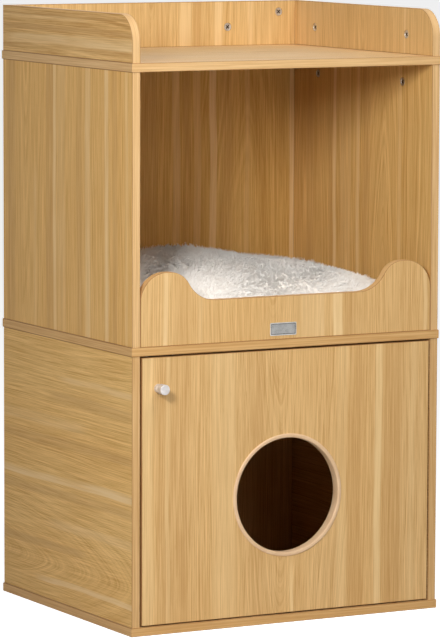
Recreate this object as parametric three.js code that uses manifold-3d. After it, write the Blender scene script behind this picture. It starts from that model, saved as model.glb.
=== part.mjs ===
// Cat litter box cabinet in oak-look laminate board. A closed tray compartment with an inset door stands
// below an open cushioned niche, and a low three-sided gallery stands on top.
// Millimetres. X runs to the right, -Y to the front and Z up. The floor is z = 0, and x = y = 0 is the
// middle of the boards.
import * as THREE from "three";
import { mergeVertices } from "three/addons/utils/BufferGeometryUtils.js";
import Module from "manifold-3d";

const wasm = await Module();
wasm.setup();

// ---------------------------------------------------------------- driving dimensions: the carcass
const boardWidth = 600;
const boardDepth = 500;
const boardThickness = 15;
const panelThickness = 15;
const lowerClearHeight = 460; // between the bottom board and the middle board
const upperClearHeight = 460; // between the middle board and the top board
const panelInset = 1.5; // the boards stand proud of the panels by this much, all round
const edgeEase = 0.6; // the small chamfer that the edge banding leaves
const galleryHeight = 80;
const galleryCornerRadius = 47;

// ---------------------------------------------------------------- driving dimensions: the bed guard
const guardLobeHeight = 124;
const guardValleyHeight = 73.5;
const guardOuterRadius = 50;
const guardLobeFlat = 6;
const guardInnerRadius = 42;
const guardValleyRadius = 58;
const guardSideClearance = 0.5;

// ---------------------------------------------------------------- driving dimensions: the door
const doorThickness = 15;
const doorFreeGap = 3.5; // at the knob side
const doorHingeGap = 2.5; // at the hinge side
const doorTopGap = 3;
const doorBottomGap = 2;
const entranceClearRadius = 99;
const entranceHeight = 204; // centre of the round entrance above the door's bottom edge
const trimSleeveWall = 1.7;
const trimFlangeWidth = 7;
const trimFlangeThickness = 1.8;
const trimClearance = 0.3;
const knobRadius = 8.8;
const knobLength = 26.5;
const knobNeckRadius = 5.5;
const knobNeckLength = 3.5;
const knobRim = 0.9;
const knobFromEdge = 30.4;
const knobFromTop = 52.5;
const knobThreadDepth = 9;
const knobThreadEndGap = 1; // left free past the tip of the knob's screw

// ---------------------------------------------------------------- driving dimensions: cup hinges
// Hinge places are given as a depth into the opening from the right panel's inner face, and a depth
// back from the front plane.
const hingeFromDoorEnd = 90;
const cupRadius = 17.5;
const cupDepth = 11.5;
const cupToDoorEdge = 4;
const cupWall = 1.2;
const cupFloor = 1;
const cupFlangeThickness = 1.2;
const cupFlangeWidth = 12;
const cupFlangeReach = 27;
const cupPegRadius = 4;
const cupPegLength = 8;
const cupPegSpread = 45;
const pivotFromPanel = 16.5;
const pivotFromFront = 7.5;
const pivotPinRadius = 1.5;
const pivotEyeRadius = 2.6;
const armThickness = 3;
const armNeckWidth = 9;
const armTailWidth = 14;
const armNeckReach = 12.3; // from the pivot to the neck, which clears the door's edge at full swing
const armNeckHeight = 17.5; // the neck stands this far back from the pivot
const armCrank = 13; // the crank back to the panel takes this much depth
const armTailLength = 40;
const plateWingThickness = 2;
const plateRidgeHeight = 3;
const plateRidgeWidth = 10;
const plateWingWidth = 12;
const plateWingReach = 24;
const plateFromDoor = 37; // the screw line, behind the door's inner face
const plateScrewSpacing = 32;

// ---------------------------------------------------------------- driving dimensions: catch, fasteners
const catchWidth = 40;
const catchDepth = 14;
const catchHeight = 12;
const catchEarLength = 9;
const catchEarThickness = 2.5;
const catchEarSetback = 2;
const catchFromPanel = 48; // from the left panel's inner face to the middle of the catch
const magnetWidth = 26;
const magnetHeight = 6;
const magnetDepth = 10;
const magnetProud = 0.3;
const strikeWidth = 34;
const strikeHeight = 24;
const strikeThickness = 1;
const strikeBelowDoorTop = 1;
const strikeScrewUp = 6;
const catchAirGap = 0.3;
const screwHeadRadius = 3.4;
const screwHeadHeight = 1.8;
const screwHeadFlatShare = 0.6; // of the head's radius
const screwShankRadius = 1.7;
const screwLength = 12;
const camRadius = 7.5;
const camDepth = 12.5;
const camSlotLength = 9;
const camSlotWidth = 1.6;
const camSlotDepth = 1.6;
const camFromEdge = 34;
const boltThreadRadius = 3;
const boltThreadLength = 11;
const boltTipRadius = 2.1;
const boltTipLength = 1;
const boltCollarRadius = 3.6;
const boltCollarHeight = 2;
const boltShankRadius = 2.4;
const boltHeadRadius = 3.3;
const boltHeadHeight = 3.5;
const railCamY = 160;
const sideCamY = 148;
const backCamX = 144;
const cornerCamHeight = 60; // above the top board
const fitClearance = 0.3; // between a turned piece and its hole
const cutOver = 1; // how far a cut runs past the face that it opens

// ---------------------------------------------------------------- driving dimensions: cushion
const cushionSideGap = 8.5;
const cushionSeamHeight = 42;
const cushionShoulderHeight = 85;
const cushionShoulderPower = 6; // how late the top turns down to the seam
const cushionCrown = 22;
const cushionCrownPower = 1.2;
const cushionSwell = 24; // the stuffing has gathered here, left of the middle
const cushionSwellX = -75;
const cushionSwellY = 50;
const cushionSwellRadius = 115;
const cushionDrawIn = 7;
const cushionCorner = 5.5; // exponent of the footprint's rounded corners
const cushionFlatShare = 0.86; // the share of the half width that lies flat on the board

// ---------------------------------------------------------------- levels and planes that follow
const middleBottom = boardThickness + lowerClearHeight;
const middleTop = middleBottom + boardThickness;
const topBottom = middleTop + upperClearHeight;
const topTop = topBottom + boardThickness;
const panelOuterX = boardWidth / 2 - panelInset;
const panelInnerX = panelOuterX - panelThickness;
const panelFrontY = panelInset - boardDepth / 2;
const panelBackY = boardDepth / 2 - panelInset;
const backInnerY = panelBackY - panelThickness;
const doorInnerY = panelFrontY + doorThickness;
const doorLeft = doorFreeGap - panelInnerX;
const doorRight = panelInnerX - doorHingeGap;
const doorBottom = boardThickness + doorBottomGap;
const doorTop = middleBottom - doorTopGap;
const entranceX = (doorLeft + doorRight) / 2;
const entranceZ = doorBottom + entranceHeight;
const doorHoleRadius = entranceClearRadius + trimSleeveWall + trimClearance;

// ---------------------------------------------------------------- finishes
const finish = (color, roughness, metalness = 0) =>
  new THREE.MeshStandardMaterial({ color, roughness, metalness });
const boardLaminate = finish(0xdeb985, 0.5);
const panelLaminate = finish(0xd2a870, 0.52);
const doorLaminate = finish(0xdcb67d, 0.5);
const trimPlastic = finish(0xdcb795, 0.55);
const satinMetal = finish(0xc9c9c6, 0.3, 1);
const zincMetal = finish(0xb4b3ae, 0.42, 1);
const brownPlastic = finish(0x4a3524, 0.6);
const darkMagnet = finish(0x2b2a2a, 0.5);
const plush = finish(0xe9e2da, 0.95);

const cabinet = new THREE.Group();

// ---------------------------------------------------------------- making solids
// A closed three.js geometry, moved by a matrix, as a solid that can be joined and cut.
function toSolid(geometry, matrix = new THREE.Matrix4()) {
  const bare = geometry.clone().applyMatrix4(matrix);
  bare.deleteAttribute("normal");
  bare.deleteAttribute("uv");
  const merged = mergeVertices(bare, 1e-4);
  const vertProperties = new Float32Array(merged.attributes.position.array);
  const triVerts = new Uint32Array(merged.index.array);
  return new wasm.Manifold(new wasm.Mesh({ numProp: 3, vertProperties, triVerts }));
}

// Adds a named sub-part to the cabinet.
function addPart(name, solid, material) {
  const { vertProperties, triVerts } = solid.getMesh();
  const geometry = new THREE.BufferGeometry();
  geometry.setAttribute("position", new THREE.BufferAttribute(new Float32Array(vertProperties), 3));
  geometry.setIndex(new THREE.BufferAttribute(new Uint32Array(triVerts), 1));
  geometry.computeVertexNormals();
  const mesh = new THREE.Mesh(geometry, material);
  mesh.name = name;
  cabinet.add(mesh);
}

// An upright block between two corners.
function block(low, high) {
  const size = high.map((v, i) => v - low[i]);
  const middle = high.map((v, i) => (v + low[i]) / 2);
  return toSolid(new THREE.BoxGeometry(...size), new THREE.Matrix4().setPosition(...middle));
}

// Stands the own +Y axis of a turned piece along one of the six main directions, from an origin.
function standing(origin, direction) {
  const y = new THREE.Vector3(...direction);
  const x = new THREE.Vector3(y.z, y.x, y.y);
  const z = new THREE.Vector3().crossVectors(x, y);
  return new THREE.Matrix4().makeBasis(x, y, z).setPosition(...origin);
}

// A round rod or the tool of a drilled hole, running from an origin for a length.
function rod(radius, length, origin, direction, sides = 16) {
  const geometry = new THREE.CylinderGeometry(radius, radius, length, sides);
  return toSolid(geometry.translate(0, length / 2, 0), standing(origin, direction));
}

// A turned piece: pairs of radius and height, anticlockwise, from the axis or closed on themselves.
function turned(profile, origin, direction, sides = 24) {
  const points = profile.map(([r, h]) => new THREE.Vector2(r, h));
  return toSolid(new THREE.LatheGeometry(points, sides), standing(origin, direction));
}

// A flat outline given thickness, with both rims eased. "across" and "up" are the outline's own
// directions, and it grows from the origin along their cross product.
function plate(shape, thickness, origin, across, up, ease = edgeEase, curveSegments = 10) {
  const geometry = new THREE.ExtrudeGeometry(shape, {
    depth: thickness - 2 * ease,
    bevelEnabled: ease > 0,
    bevelSize: ease,
    bevelOffset: -ease,
    bevelThickness: ease,
    bevelSegments: 1,
    curveSegments,
  });
  geometry.translate(0, 0, ease);
  const x = new THREE.Vector3(...across);
  const y = new THREE.Vector3(...up);
  const z = new THREE.Vector3().crossVectors(x, y);
  return toSolid(geometry, new THREE.Matrix4().makeBasis(x, y, z).setPosition(...origin));
}

function rectangle(left, bottom, right, top) {
  const shape = new THREE.Shape();
  shape.moveTo(left, bottom);
  shape.lineTo(right, bottom);
  shape.lineTo(right, top);
  shape.lineTo(left, top);
  shape.closePath();
  return shape;
}

const X = [1, 0, 0];
const Y = [0, 1, 0];
const Z = [0, 0, 1];
const minus = (v) => v.map((c) => -c || 0);
const stepped = (p, direction, distance) => p.map((c, i) => c + direction[i] * distance);

// ---------------------------------------------------------------- the laminate boards and panels
// Solids wait here by name until the fasteners have cut their holes.
const carcass = {};

function levelBoard(bottom) {
  const outline = rectangle(-boardWidth / 2, -boardDepth / 2, boardWidth / 2, boardDepth / 2);
  return plate(outline, boardThickness, [0, 0, bottom], X, Y);
}

// side is -1 for the left panel and 1 for the right one.
function sidePanel(side, bottom, top) {
  const outline = rectangle(panelFrontY, bottom, panelBackY, top);
  const near = side > 0 ? panelInnerX : -panelOuterX;
  return plate(outline, panelThickness, [near, 0, 0], Y, Z);
}

function backPanel(bottom, top) {
  const outline = rectangle(-panelInnerX, bottom, panelInnerX, top);
  return plate(outline, panelThickness, [0, panelBackY, 0], X, Z);
}

// A gallery side rail has one large rounded corner, at the top in front.
function galleryRail(side) {
  const shape = new THREE.Shape();
  const top = topTop + galleryHeight;
  const r = galleryCornerRadius;
  shape.moveTo(panelFrontY, topTop);
  shape.lineTo(panelBackY, topTop);
  shape.lineTo(panelBackY, top);
  shape.lineTo(panelFrontY + r, top);
  shape.absarc(panelFrontY + r, top - r, r, Math.PI / 2, Math.PI, false);
  shape.closePath();
  const near = side > 0 ? panelInnerX : -panelOuterX;
  return plate(shape, panelThickness, [near, 0, 0], Y, Z, edgeEase, 12);
}

// The guard's upper edge: a lobe at each end and a flat valley between, all in tangent arcs.
function guardOutline() {
  const end = panelInnerX - guardSideClearance;
  const lobe = middleTop + guardLobeHeight;
  const valley = middleTop + guardValleyHeight;
  const shoulder = end - guardOuterRadius - guardLobeFlat;
  const reach = guardInnerRadius + guardValleyRadius;
  const rise = valley + guardValleyRadius - (lobe - guardInnerRadius);
  const run = Math.sqrt(reach * reach - rise * rise);
  const hollow = shoulder - run;
  const turn = Math.atan2(rise, -run);
  const shape = new THREE.Shape();
  shape.moveTo(-end, middleTop);
  shape.lineTo(end, middleTop);
  shape.absarc(end - guardOuterRadius, lobe - guardOuterRadius, guardOuterRadius, 0, Math.PI / 2, false);
  shape.absarc(shoulder, lobe - guardInnerRadius, guardInnerRadius, Math.PI / 2, turn, false);
  shape.absarc(hollow, valley + guardValleyRadius, guardValleyRadius, turn - Math.PI, -Math.PI / 2, true);
  shape.absarc(-hollow, valley + guardValleyRadius, guardValleyRadius, -Math.PI / 2, -turn, true);
  shape.absarc(-shoulder, lobe - guardInnerRadius, guardInnerRadius, Math.PI - turn, Math.PI / 2, false);
  shape.absarc(guardOuterRadius - end, lobe - guardOuterRadius, guardOuterRadius, Math.PI / 2, Math.PI, false);
  shape.closePath();
  return shape;
}

carcass.bottom_board = levelBoard(0);
carcass.middle_board = levelBoard(middleBottom);
carcass.top_board = levelBoard(topBottom);
carcass.lower_left_side = sidePanel(-1, boardThickness, middleBottom);
carcass.lower_right_side = sidePanel(1, boardThickness, middleBottom);
carcass.lower_back_panel = backPanel(boardThickness, middleBottom);
carcass.upper_left_side = sidePanel(-1, middleTop, topBottom);
carcass.upper_right_side = sidePanel(1, middleTop, topBottom);
carcass.upper_back_panel = backPanel(middleTop, topBottom);
carcass.gallery_left_rail = galleryRail(-1);
carcass.gallery_right_rail = galleryRail(1);
carcass.gallery_back_rail = backPanel(topTop, topTop + galleryHeight);
carcass.bed_guard = plate(guardOutline(), panelThickness, [0, panelFrontY + panelThickness, 0], X, Z);

// ---------------------------------------------------------------- the door, its trim and its knob
const doorOutline = rectangle(doorLeft, doorBottom, doorRight, doorTop);
const entrance = new THREE.Path();
entrance.absarc(entranceX, entranceZ, doorHoleRadius, 0, 2 * Math.PI, true);
doorOutline.holes.push(entrance);
let door = plate(doorOutline, doorThickness, [0, doorInnerY, 0], X, Z, edgeEase, 56);

// The edge trim is a ring of U section, pushed over the rim of the hole from inside.
const flangeRadius = entranceClearRadius + trimFlangeWidth;
const sleeveRadius = entranceClearRadius + trimSleeveWall;
const trimRing = turned(
  [
    [entranceClearRadius, -trimFlangeThickness],
    [flangeRadius - trimFlangeThickness, -trimFlangeThickness],
    [flangeRadius, 0],
    [sleeveRadius, 0],
    [sleeveRadius, doorThickness],
    [flangeRadius, doorThickness],
    [flangeRadius - trimFlangeThickness, doorThickness + trimFlangeThickness],
    [entranceClearRadius, doorThickness + trimFlangeThickness],
    [entranceClearRadius, -trimFlangeThickness],
  ],
  [entranceX, panelFrontY, entranceZ],
  Y,
  56,
);

const knobPlace = [doorLeft + knobFromEdge, panelFrontY, doorTop - knobFromTop];
const knobBlank = turned(
  [
    [0, 0],
    [knobNeckRadius, 0],
    [knobNeckRadius, knobNeckLength],
    [knobRadius - knobRim, knobNeckLength],
    [knobRadius, knobNeckLength + knobRim],
    [knobRadius, knobLength - knobRim],
    [knobRadius - knobRim, knobLength],
    [knobRadius - 2 * knobRim, knobLength],
    [0, knobLength - knobRim / 2],
  ],
  knobPlace,
  minus(Y),
  32,
);
const threadHole = rod(screwShankRadius + fitClearance, knobThreadDepth, knobPlace, minus(Y), 12);
const knob = knobBlank.subtract(threadHole);

// A pan-head screw whose head stands on a face at an origin, and whose shank runs in a direction.
function panHeadScrew(length, origin, direction) {
  const dome = screwHeadHeight / 3;
  const profile = [
    [0, -screwHeadHeight],
    [screwHeadRadius * screwHeadFlatShare, -screwHeadHeight],
    [screwHeadRadius, dome - screwHeadHeight],
    [screwHeadRadius, 0],
    [screwShankRadius, 0],
    [screwShankRadius, length - screwShankRadius],
    [0, length],
  ];
  return turned(profile, origin, direction, 12);
}

function screwHole(length, origin, direction) {
  return rod(screwShankRadius + fitClearance, length, origin, direction, 10);
}

const knobScrewLength = doorThickness + knobThreadDepth - knobThreadEndGap;
const knobScrewPlace = [knobPlace[0], doorInnerY, knobPlace[2]];
door = door.subtract(screwHole(doorThickness, knobScrewPlace, minus(Y)));

// ---------------------------------------------------------------- concealed cup hinges
// A place in the plan of the hinge: how far in from the right panel, how far back from the front.
const hingePoint = (fromPanel, fromFront, z) => [panelInnerX - fromPanel, panelFrontY + fromFront, z];
const cupFromPanel = doorHingeGap + cupToDoorEdge + cupRadius;
const ridgeTop = plateWingThickness + plateRidgeHeight;
const tailFromPanel = ridgeTop + fitClearance + armThickness / 2;
const screwLineBack = doorThickness + plateFromDoor;

// The cup is pressed into the door, with a flange on the door's inner face and a peg at each end.
function hingeCup(z) {
  const shellRadius = cupRadius - fitClearance;
  const seat = [panelInnerX - cupFromPanel, doorInnerY, z];
  const innerRadius = shellRadius - cupWall;
  const floor = fitClearance - cupDepth;
  let cup = turned(
    [
      [0, floor],
      [shellRadius, floor],
      [shellRadius, 0],
      [shellRadius + cupWall, 0],
      [shellRadius + cupWall, cupFlangeThickness],
      [innerRadius, cupFlangeThickness],
      [innerRadius, floor + cupFloor],
      [0, floor + cupFloor],
    ],
    seat,
    Y,
    32,
  );
  for (const end of [-1, 1]) {
    const wingStart = Math.sqrt(shellRadius ** 2 - (cupFlangeWidth / 2) ** 2);
    const zs = [z + end * wingStart, z + end * cupFlangeReach].sort((a, b) => a - b);
    const low = [seat[0] - cupFlangeWidth / 2, doorInnerY, zs[0]];
    const high = [seat[0] + cupFlangeWidth / 2, doorInnerY + cupFlangeThickness, zs[1]];
    const pegPlace = [seat[0], doorInnerY + cupFlangeThickness / 2, z + (end * cupPegSpread) / 2];
    const peg = rod(cupPegRadius - fitClearance, cupPegLength, pegPlace, minus(Y), 14);
    cup = cup.add(block(low, high)).add(peg);
  }
  const bore = pivotPinRadius + fitClearance;
  const through = 2 * (cupRadius + cupWall);
  const boreStart = hingePoint(pivotFromPanel, pivotFromFront, z - through / 2);
  return cup.subtract(rod(bore, through, boreStart, Z, 12));
}

// The arm is a bent strip: an eye on the pin, a neck that rises out of the cup, a crank to the panel
// and a tail over the mounting plate.
function hingeArm(z) {
  const neck = pivotFromPanel + armNeckReach;
  const neckBack = pivotFromFront + armNeckHeight;
  const tailFront = neckBack + armCrank;
  const bends = [
    [pivotFromPanel, pivotFromFront],
    [neck, pivotFromFront],
    [neck, neckBack],
    [tailFromPanel, tailFront],
    [tailFromPanel, tailFront + armTailLength],
  ];
  const eyeStart = hingePoint(...bends[0], z - armNeckWidth / 2);
  let arm = rod(pivotEyeRadius, armNeckWidth, eyeStart, Z, 16);
  bends.slice(1).forEach(([u, v], i) => {
    const [u0, v0] = bends[i];
    const width = i === bends.length - 2 ? armTailWidth : armNeckWidth;
    const length = Math.hypot(u - u0, v - v0);
    const strip = new THREE.BoxGeometry(length, armThickness, width);
    const turn = new THREE.Matrix4().makeRotationZ(Math.atan2(v - v0, u0 - u));
    turn.setPosition(...hingePoint((u + u0) / 2, (v + v0) / 2, z));
    arm = arm.add(toSolid(strip, turn));
    if (i < bends.length - 2) {
      const bend = hingePoint(u, v, z - armNeckWidth / 2);
      arm = arm.add(rod(armThickness / 2, armNeckWidth, bend, Z, 12));
    }
  });
  const bore = pivotPinRadius + fitClearance;
  return arm.subtract(rod(bore, armNeckWidth + 2 * cutOver, stepped(eyeStart, Z, -cutOver), Z, 12));
}

// The mounting plate is a cross: a ridge under the arm and a wing with a screw on each side.
function hingePlate(z) {
  const tailFront = pivotFromFront + armNeckHeight + armCrank;
  const ridge = block(
    hingePoint(ridgeTop, tailFront, z - plateRidgeWidth / 2),
    hingePoint(0, tailFront + armTailLength, z + plateRidgeWidth / 2),
  );
  const wing = block(
    hingePoint(plateWingThickness, screwLineBack - plateWingWidth / 2, z - plateWingReach),
    hingePoint(0, screwLineBack + plateWingWidth / 2, z + plateWingReach),
  );
  return ridge.add(wing);
}

const hinges = { lower: doorBottom + hingeFromDoorEnd, upper: doorTop - hingeFromDoorEnd };
const hingeParts = [];
for (const [level, z] of Object.entries(hinges)) {
  const seat = [panelInnerX - cupFromPanel, doorInnerY, z];
  door = door.subtract(rod(cupRadius, cupDepth, stepped(seat, minus(Y), cupDepth), Y, 32));
  let mountingPlate = hingePlate(z);
  for (const end of [-1, 1]) {
    const peg = stepped(seat, Z, (end * cupPegSpread) / 2);
    door = door.subtract(rod(cupPegRadius, cupPegLength, stepped(peg, minus(Y), cupPegLength), Y, 14));
    const screwPlace = hingePoint(plateWingThickness, screwLineBack, z + (end * plateScrewSpacing) / 2);
    const hole = screwHole(screwLength + fitClearance, screwPlace, X);
    mountingPlate = mountingPlate.subtract(hole);
    carcass.lower_right_side = carcass.lower_right_side.subtract(hole);
    const where = end < 0 ? "low" : "high";
    hingeParts.push([`${level}_plate_screw_${where}`, panHeadScrew(screwLength, screwPlace, X), zincMetal]);
  }
  const pinOffset = cupFromPanel - pivotFromPanel + pivotPinRadius;
  const pinLength = 2 * (Math.sqrt(cupRadius ** 2 - pinOffset ** 2) - fitClearance);
  const pinStart = hingePoint(pivotFromPanel, pivotFromFront, z - pinLength / 2);
  hingeParts.push([`${level}_hinge_cup`, hingeCup(z), zincMetal]);
  hingeParts.push([`${level}_hinge_arm`, hingeArm(z), zincMetal]);
  hingeParts.push([`${level}_hinge_pin`, rod(pivotPinRadius, pinLength, pinStart, Z, 12), satinMetal]);
  hingeParts.push([`${level}_hinge_plate`, mountingPlate, zincMetal]);
}

// ---------------------------------------------------------------- the magnetic catch
const catchX = catchFromPanel - panelInnerX;
const catchFront = doorInnerY + strikeThickness + magnetProud + catchAirGap;
const strikeTop = doorTop - strikeBelowDoorTop;
const magnetMiddle = middleBottom - catchHeight / 2;
const earReach = catchWidth / 2 + catchEarLength;

let catchCase = block(
  [catchX - catchWidth / 2, catchFront, middleBottom - catchHeight],
  [catchX + catchWidth / 2, catchFront + catchDepth, middleBottom],
).add(
  block(
    [catchX - earReach, catchFront + catchEarSetback, middleBottom - catchEarThickness],
    [catchX + earReach, catchFront + catchDepth - catchEarSetback, middleBottom],
  ),
);
catchCase = catchCase.subtract(
  block(
    [
      catchX - magnetWidth / 2 - fitClearance,
      catchFront - cutOver,
      magnetMiddle - magnetHeight / 2 - fitClearance,
    ],
    [
      catchX + magnetWidth / 2 + fitClearance,
      catchFront + magnetDepth - magnetProud,
      magnetMiddle + magnetHeight / 2 + fitClearance,
    ],
  ),
);
const magnet = block(
  [catchX - magnetWidth / 2, catchFront - magnetProud, magnetMiddle - magnetHeight / 2],
  [catchX + magnetWidth / 2, catchFront + magnetDepth - magnetProud, magnetMiddle + magnetHeight / 2],
);

const catchScrews = [-1, 1].map((end) => {
  const x = catchX + end * (catchWidth / 2 + catchEarLength / 2);
  return [x, catchFront + catchDepth / 2, middleBottom - catchEarThickness];
});
for (const place of catchScrews) {
  const hole = screwHole(screwLength + fitClearance, place, Z);
  catchCase = catchCase.subtract(hole);
  carcass.middle_board = carcass.middle_board.subtract(hole);
}

const strikeScrewPlace = [catchX, doorInnerY + strikeThickness, strikeTop - strikeHeight + strikeScrewUp];
const strikeHole = screwHole(screwLength + fitClearance, strikeScrewPlace, minus(Y));
const strike = block(
  [catchX - strikeWidth / 2, doorInnerY, strikeTop - strikeHeight],
  [catchX + strikeWidth / 2, doorInnerY + strikeThickness, strikeTop],
).subtract(strikeHole);
door = door.subtract(strikeHole);

// ---------------------------------------------------------------- cam locks and their bolts
// A cam sits in a pocket in one panel's face. Its bolt stands in the face of the board that the panel
// meets, and reaches the cam through a bore in the panel's edge.
// face: the pocket's centre; inward: into the panel; pull: from the cam to the board that it draws in.
function camLock(name, panel, board, face, inward, pull) {
  const pocket = rod(camRadius, camDepth, face, inward, 20);
  const axis = stepped(face, inward, panelThickness / 2);
  const edge = stepped(axis, pull, camFromEdge);
  const bore = rod(boltCollarRadius + fitClearance, camFromEdge, edge, minus(pull), 10);
  carcass[panel] = carcass[panel].subtract(pocket).subtract(bore);
  const threadHole = rod(boltThreadRadius + fitClearance, boltThreadLength + fitClearance, edge, pull, 10);
  carcass[board] = carcass[board].subtract(threadHole);

  const bodyRadius = camRadius - fitClearance;
  let cam = rod(bodyRadius, camDepth - 2 * fitClearance, stepped(face, inward, fitClearance), inward, 20);
  const cavity = boltHeadRadius + fitClearance;
  cam = cam.subtract(rod(cavity, 2 * cavity + camRadius, stepped(axis, minus(pull), cavity), pull, 12));
  const side = new THREE.Vector3(...inward).cross(new THREE.Vector3(...pull)).toArray();
  const slotFloor = stepped(face, inward, camSlotDepth);
  for (const [long, short] of [[pull, side], [side, pull]]) {
    const corners = [-1, 1].map((sign) => {
      const along = stepped(slotFloor, long, (sign * camSlotLength) / 2);
      const over = stepped(along, short, (sign * camSlotWidth) / 2);
      return sign < 0 ? over : stepped(over, inward, -camSlotDepth);
    });
    const low = corners[0].map((v, i) => Math.min(v, corners[1][i]));
    const high = corners[0].map((v, i) => Math.max(v, corners[1][i]));
    cam = cam.subtract(block(low, high));
  }

  const shankEnd = camFromEdge - boltHeadHeight / 2;
  const bolt = turned(
    [
      [0, -boltThreadLength],
      [boltTipRadius, -boltThreadLength],
      [boltThreadRadius, boltTipLength - boltThreadLength],
      [boltThreadRadius, 0],
      [boltCollarRadius, 0],
      [boltCollarRadius, boltCollarHeight],
      [boltShankRadius, boltCollarHeight],
      [boltShankRadius, shankEnd],
      [boltHeadRadius, shankEnd],
      [boltHeadRadius, shankEnd + boltHeadHeight],
      [0, shankEnd + boltHeadHeight],
    ],
    edge,
    minus(pull),
    8,
  );
  addPart(`${name}_cam`, cam, zincMetal);
  addPart(`${name}_bolt`, bolt, zincMetal);
}

for (const [side, sign] of [["left", -1], ["right", 1]]) {
  const outward = [sign, 0, 0];
  const faceX = sign * panelInnerX;
  for (const [place, at] of [["front", -1], ["rear", 1]]) {
    const railCam = [faceX, at * railCamY, topTop + camFromEdge];
    const sideCam = [faceX, at * sideCamY, topBottom - camFromEdge];
    camLock(`rail_${side}_${place}`, `gallery_${side}_rail`, "top_board", railCam, outward, minus(Z));
    camLock(`side_${side}_${place}`, `upper_${side}_side`, "top_board", sideCam, outward, Z);
  }
  const backCam = [sign * backCamX, backInnerY, topTop + camFromEdge];
  const cornerCam = [sign * (panelInnerX - camFromEdge), backInnerY, topTop + cornerCamHeight];
  camLock(`rail_back_${side}`, "gallery_back_rail", "top_board", backCam, Y, minus(Z));
  camLock(`rail_corner_${side}`, "gallery_back_rail", `gallery_${side}_rail`, cornerCam, Y, outward);
}

// ---------------------------------------------------------------- the cushion
// Rings run from the middle of the underside, round the seam, to the crown. Each is the footprint
// drawn smaller by a share, and its points stand at that share's height below or above the seam.
function cushionForm() {
  const halfWidth = panelInnerX - cushionSideGap;
  const guardBack = panelFrontY + panelThickness;
  const halfDepth = (backInnerY - guardBack) / 2 - cushionSideGap;
  const middleY = (backInnerY + guardBack) / 2;
  const around = 60;
  const under = (share) => {
    const lift = Math.max(0, (share - cushionFlatShare) / (1 - cushionFlatShare));
    return cushionSeamHeight * (1 - Math.sqrt(1 - lift * lift));
  };
  const over = (share, x, y) => {
    const turnDown = 1 - share ** cushionShoulderPower;
    const away = Math.hypot(x - cushionSwellX, y - cushionSwellY) / cushionSwellRadius;
    return (
      cushionSeamHeight +
      (cushionShoulderHeight - cushionSeamHeight) * Math.sqrt(turnDown) +
      cushionCrown * (1 - share * share) ** cushionCrownPower +
      cushionSwell * turnDown * Math.exp(-away * away)
    );
  };
  const place = (share, height, angle) => {
    const round = 2 / cushionCorner;
    const c = Math.cos(angle);
    const s = Math.sin(angle);
    const acrossShare = Math.sign(c) * Math.abs(c) ** round;
    const alongShare = Math.sign(s) * Math.abs(s) ** round;
    const x = share * (halfWidth - cushionDrawIn * (1 - alongShare ** 2)) * acrossShare;
    const y = middleY + share * (halfDepth - cushionDrawIn * (1 - acrossShare ** 2)) * alongShare;
    return [x, y, middleTop + height(share, x, y)];
  };

  const rings = [cushionFlatShare, 0.95, 0.985].map((share) => [share, under]);
  const upper = [1, 0.99, 0.97, 0.94, 0.89, 0.82, 0.73, 0.63, 0.52, 0.4, 0.27, 0.13];
  rings.push(...upper.map((share) => [share, over]));
  const points = [[0, middleY, middleTop]];
  for (const [share, height] of rings) {
    for (let i = 0; i < around; i++) points.push(place(share, height, (2 * Math.PI * (i + 0.5)) / around));
  }
  points.push([0, middleY, middleTop + over(0, 0, middleY)]);
  const faces = [];
  const crown = points.length - 1;
  const last = 1 + (rings.length - 1) * around;
  for (let i = 0; i < around; i++) {
    const next = (i + 1) % around;
    faces.push(0, 1 + next, 1 + i);
    faces.push(crown, last + i, last + next);
    for (let ring = 0; ring < rings.length - 1; ring++) {
      const a = 1 + ring * around;
      const b = a + around;
      faces.push(a + i, a + next, b + next, a + i, b + next, b + i);
    }
  }
  const geometry = new THREE.BufferGeometry();
  geometry.setAttribute("position", new THREE.Float32BufferAttribute(points.flat(), 3));
  geometry.setIndex(faces);
  return toSolid(geometry);
}

// ---------------------------------------------------------------- everything into the cabinet
for (const [name, solid] of Object.entries(carcass)) {
  addPart(name, solid, name.endsWith("_board") ? boardLaminate : panelLaminate);
}
addPart("door", door, doorLaminate);
addPart("door_hole_trim", trimRing, trimPlastic);
addPart("knob", knob, satinMetal);
addPart("knob_screw", panHeadScrew(knobScrewLength, knobScrewPlace, minus(Y)), zincMetal);
for (const [name, solid, material] of hingeParts) addPart(name, solid, material);
addPart("catch_case", catchCase, brownPlastic);
addPart("catch_magnet", magnet, darkMagnet);
catchScrews.forEach((place, i) => {
  addPart(`catch_screw_${i ? "right" : "left"}`, panHeadScrew(screwLength, place, Z), zincMetal);
});
addPart("catch_strike", strike, zincMetal);
addPart("strike_screw", panHeadScrew(screwLength, strikeScrewPlace, minus(Y)), zincMetal);
addPart("cushion", cushionForm(), plush);

export default cabinet;
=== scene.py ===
from math import cos, pi, radians, sin

import bmesh
import bpy
import numpy as np
from mathutils import Matrix, Vector


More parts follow.
